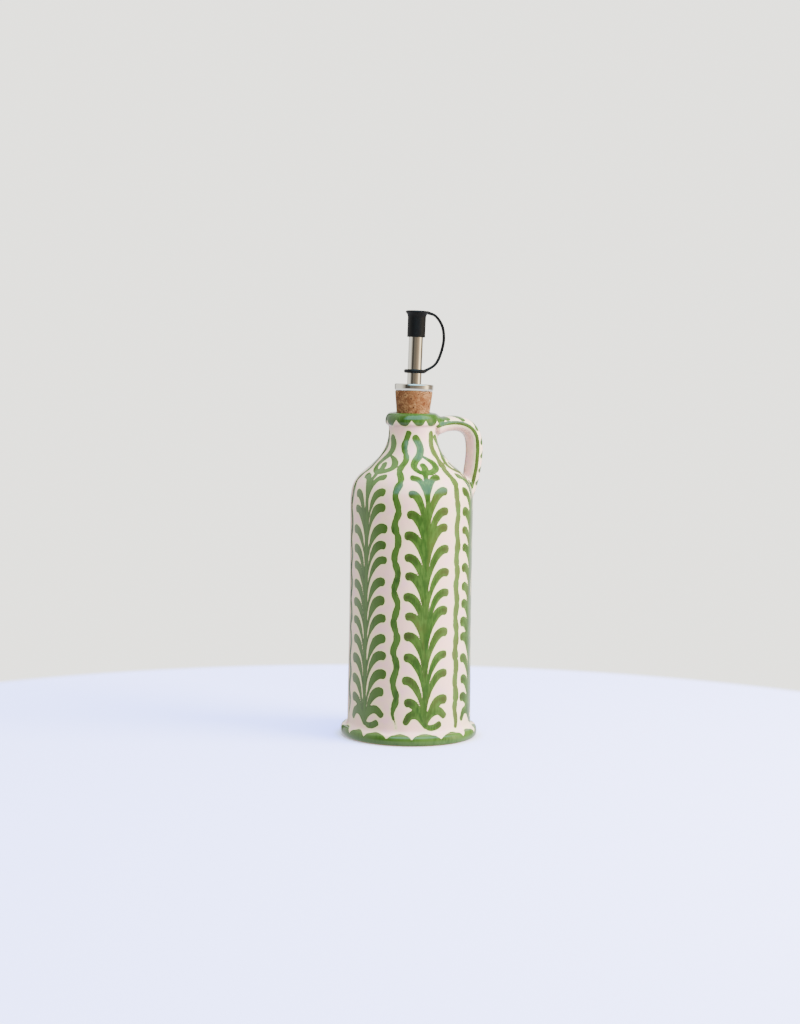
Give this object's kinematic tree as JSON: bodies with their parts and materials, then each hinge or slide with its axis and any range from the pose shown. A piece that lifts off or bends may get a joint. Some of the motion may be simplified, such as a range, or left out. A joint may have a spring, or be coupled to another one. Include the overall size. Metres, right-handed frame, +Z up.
{
  "type": "ceramic olive oil bottle",
  "caption": "Hand-painted ceramic oil bottle with a strap handle on its neck, stopped by a cork with a steel pouring spout and a strapped cap.",
  "frame": {"origin": "centre of the bottle's flat underside", "axes": "+Z up along the bottle's axis to the spout, +X towards the handle, -Y towards the middle of the painted front"},
  "size_m": [0.0907, 0.0888, 0.2756],
  "materials": {
    "painted_glaze": "glossy clear glaze over a pinkish white body with green brush painting",
    "cork": "natural agglomerated cork, matt, with dark granules and pits",
    "polished_steel": "polished stainless steel",
    "black_rubber": "moulded black rubber, satin"
  },
  "bodies": {
    "root": {"ceramic_bottle": "painted_glaze", "cork_stopper": "cork", "spout_collar": "polished_steel", "spout_tube": "polished_steel", "spout_cap": "black_rubber"}
  },
  "joints": []
}
